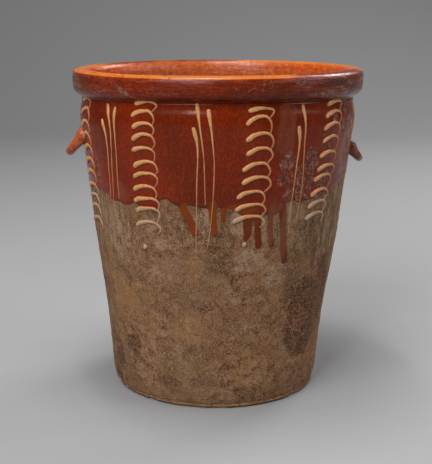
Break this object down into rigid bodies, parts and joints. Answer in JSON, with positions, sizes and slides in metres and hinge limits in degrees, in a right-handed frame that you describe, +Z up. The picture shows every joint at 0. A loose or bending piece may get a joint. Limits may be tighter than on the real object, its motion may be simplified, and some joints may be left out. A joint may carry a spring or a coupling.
{
  "type": "confit pot",
  "caption": "Tall tapered earthenware storage pot, open at the top, with a thick rolled rim, small drooping strap ears and trailed slip decoration on its glazed upper part.",
  "frame": {"origin": "centre of the flat underside that the pot stands on", "axes": "+Z up along the pot's axis; the ears lie on X; the decorated front of the picture faces -Y"},
  "size_m": [0.3138, 0.3, 0.334],
  "materials": {
    "bare_clay": "rough, weathered",
    "wall": "gloss red-brown glaze above, weathered bare clay below",
    "rim_glaze": "gloss",
    "ear_glaze": "gloss",
    "slip": "satin"
  },
  "bodies": {
    "root": {"base_slab": "bare_clay", "pot_wall": "wall", "rim_band": "rim_glaze", "handle_left": "ear_glaze", "handle_right": "ear_glaze", "slip_feather_1": "slip", "slip_feather_2": "slip", "slip_feather_3": "slip", "slip_feather_4": "slip", "slip_feather_5": "slip", "slip_feather_6": "slip", "slip_feather_7": "slip", "slip_feather_8": "slip", "slip_line_1_left": "slip", "slip_line_1_middle": "slip", "slip_line_1_right": "slip", "slip_line_2_left": "slip", "slip_line_2_middle": "slip", "slip_line_2_right": "slip", "slip_line_3_left": "slip", "slip_line_3_middle": "slip", "slip_line_4_left": "slip", "slip_line_4_middle": "slip", "slip_line_4_right": "slip", "slip_line_5_left": "slip", "slip_line_5_middle": "slip", "slip_line_5_right": "slip", "slip_line_6_left": "slip", "slip_line_6_middle": "slip", "slip_line_6_right": "slip", "slip_line_7_left": "slip", "slip_line_7_middle": "slip", "slip_line_7_right": "slip", "slip_line_8_left": "slip", "slip_line_8_middle": "slip", "slip_line_8_right": "slip", "slip_drop_1": "slip", "slip_drop_2": "slip"}
  },
  "joints": []
}
